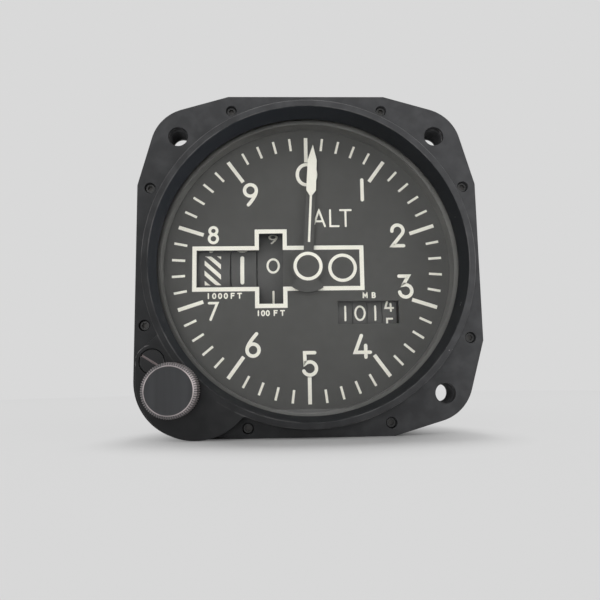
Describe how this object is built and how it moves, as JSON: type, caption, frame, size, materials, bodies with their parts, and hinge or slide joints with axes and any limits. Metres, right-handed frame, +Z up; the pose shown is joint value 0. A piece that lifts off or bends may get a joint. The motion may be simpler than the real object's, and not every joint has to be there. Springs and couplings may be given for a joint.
{
  "type": "aircraft altimeter",
  "caption": "Panel altimeter: glazed dial with pointer, rotating drum counters and a pressure setting window worked by a corner knob, in a cylindrical case on a bolted flange.",
  "frame": {"origin": "centre of the dial axis on the front face of the mounting flange, where the panel seats", "axes": "+X to the right seen from the front, +Y into the panel along the case, +Z up"},
  "size_m": [0.082, 0.1455, 0.0827],
  "materials": {
    "black_paint": "satin black paint worn at the edges",
    "glass": "clear flat glass",
    "rubber": "matt",
    "matt_black": "matt black",
    "dial_grey": "matt dark grey paint",
    "cream_paint": "matt cream paint",
    "brass": "satin",
    "capsule_alloy": "satin copper alloy",
    "steel": "satin",
    "aluminium": "satin"
  },
  "bodies": {
    "instrument": {"bezel": "black_paint", "bezel_screws": "black_paint", "lock_screw": "black_paint", "glass_seal": "rubber", "window_glass": "glass", "glass_retainer": "dial_grey", "dial": "dial_grey", "dial_markings": "cream_paint", "pointer_bush": "brass", "counter_frame": "aluminium", "baro_frame": "aluminium", "knob_seal": "rubber", "cross_bracket": "aluminium", "dial_pillars": "aluminium", "main_plate": "aluminium", "frame_pillars": "aluminium", "rear_plate": "aluminium", "capsules": "capsule_alloy", "capsule_bridge": "aluminium", "case": "black_paint", "rear_seal": "rubber", "rear_cover": "black_paint", "cover_screws": "steel", "static_fitting": "aluminium", "connector_shell": "black_paint", "connector_insert": "matt_black", "connector_pins": "brass"},
    "pointer": {"pointer": "dial_grey", "pointer_paint": "cream_paint", "pointer_shaft": "steel", "pointer_bevel": "brass", "pointer_pinion": "brass"},
    "hundreds": {"hundreds_drum": "matt_black", "drum_shaft": "steel", "drum_bevel": "brass"},
    "thousands": {"thousands_drum": "matt_black"},
    "ten_thousands": {"ten_thousands_drum": "matt_black"},
    "first_stage": {"first_wheel": "brass", "first_arbor": "steel"},
    "second_stage": {"second_wheel": "brass", "second_arbor": "steel"},
    "rocking": {"sector_gear": "brass", "rocking_shaft": "steel"},
    "link": {"capsule_link": "steel"},
    "knob": {"baro_knob": "black_paint", "knob_shaft": "steel", "knob_pinion": "brass"},
    "idler": {"idler_gear": "brass", "idler_shaft": "steel", "idler_bevel": "brass"},
    "cross": {"cross_shaft": "steel", "cross_bevel": "brass", "cross_gear": "brass"},
    "baro_units": {"baro_units_drum": "matt_black", "baro_drum_shaft": "steel", "baro_drum_gear": "brass"},
    "baro_tens": {"baro_tens_drum": "matt_black"},
    "baro_hundreds": {"baro_hundreds_drum": "matt_black"},
    "baro_thousands": {"baro_thousands_drum": "matt_black"}
  },
  "joints": [
    {"name": "rocking_turn", "type": "hinge", "parent": "instrument", "child": "rocking", "pos_m": [-0.00814, 0.0395, -0.00893], "axis": [0, 1, 0], "range_deg": [-48.99, 2.01], "stiffness_Nm_per_rad": 0.3},
    {"name": "pointer_turn", "type": "hinge", "parent": "instrument", "child": "pointer", "pos_m": [0, 0.0229, 0], "axis": [0, 1, 0], "range_deg": [-741.56, 17655.16]},
    {"name": "hundreds_turn", "type": "hinge", "parent": "instrument", "child": "hundreds", "pos_m": [-0.0092, 0.0229, 0], "axis": [-1, 0, 0], "range_deg": [-741.56, 17655.16]},
    {"name": "thousands_turn", "type": "hinge", "parent": "instrument", "child": "thousands", "pos_m": [-0.016, 0.0229, 0], "axis": [-1, 0, 0], "range_deg": [-74.16, 1765.52]},
    {"name": "ten_thousands_turn", "type": "hinge", "parent": "instrument", "child": "ten_thousands", "pos_m": [-0.0237, 0.0229, 0], "axis": [-1, 0, 0], "range_deg": [-7.42, 176.55]},
    {"name": "first_stage_turn", "type": "hinge", "parent": "instrument", "child": "first_stage", "pos_m": [0.0084, 0.0395, 0.01455], "axis": [0, 1, 0], "range_deg": [-2942.53, 123.59]},
    {"name": "second_stage_turn", "type": "hinge", "parent": "instrument", "child": "second_stage", "pos_m": [-0.00814, 0.0395, 0.01747], "axis": [0, 1, 0], "range_deg": [-20.6, 490.42]},
    {"name": "link_slide", "type": "slide", "parent": "instrument", "child": "link", "axis": [0, 0, 1], "range_m": [-0.0002, 0.00497], "deforming": ["capsules"]},
    {"name": "knob_turn", "type": "hinge", "parent": "instrument", "child": "knob", "pos_m": [-0.0312, 0, -0.02975], "axis": [0, 1, 0], "range_deg": [-1786.2, 983.1]},
    {"name": "idler_turn", "type": "hinge", "parent": "instrument", "child": "idler", "pos_m": [-0.02306, 0.0182, -0.02199], "axis": [0, 1, 0], "range_deg": [-985.87, 1788.97]},
    {"name": "cross_turn", "type": "hinge", "parent": "instrument", "child": "cross", "pos_m": [-0.01, 0.0182, -0.02199], "axis": [1, 0, 0], "range_deg": [-1788.97, 985.87]},
    {"name": "baro_units_turn", "type": "hinge", "parent": "instrument", "child": "baro_units", "pos_m": [0.02045, 0.0182, -0.01145], "axis": [-1, 0, 0], "range_deg": [-2325.66, 1281.63]},
    {"name": "baro_tens_turn", "type": "hinge", "parent": "instrument", "child": "baro_tens", "pos_m": [0.0167, 0.0182, -0.01145], "axis": [-1, 0, 0], "range_deg": [-232.57, 128.16]},
    {"name": "baro_hundreds_turn", "type": "hinge", "parent": "instrument", "child": "baro_hundreds", "pos_m": [0.01295, 0.0182, -0.01145], "axis": [-1, 0, 0], "range_deg": [-23.26, 12.82]},
    {"name": "baro_thousands_turn", "type": "hinge", "parent": "instrument", "child": "baro_thousands", "pos_m": [0.0092, 0.0182, -0.01145], "axis": [-1, 0, 0], "range_deg": [-2.33, 1.28]}
  ],
  "couplings": [
    {"joint": "pointer_turn", "follows": "rocking_turn", "ratio": -360},
    {"joint": "hundreds_turn", "follows": "rocking_turn", "ratio": -360},
    {"joint": "thousands_turn", "follows": "rocking_turn", "ratio": -36},
    {"joint": "ten_thousands_turn", "follows": "rocking_turn", "ratio": -3.6},
    {"joint": "first_stage_turn", "follows": "rocking_turn", "ratio": 60},
    {"joint": "second_stage_turn", "follows": "rocking_turn", "ratio": -10},
    {"joint": "link_slide", "follows": "rocking_turn", "m_per_rad": -0.0058039},
    {"joint": "idler_turn", "follows": "knob_turn", "ratio": -1},
    {"joint": "cross_turn", "follows": "knob_turn", "ratio": 1},
    {"joint": "baro_units_turn", "follows": "knob_turn", "ratio": 1.3},
    {"joint": "baro_tens_turn", "follows": "knob_turn", "ratio": 0.13},
    {"joint": "baro_hundreds_turn", "follows": "knob_turn", "ratio": 0.013},
    {"joint": "baro_thousands_turn", "follows": "knob_turn", "ratio": 0.0013}
  ]
}
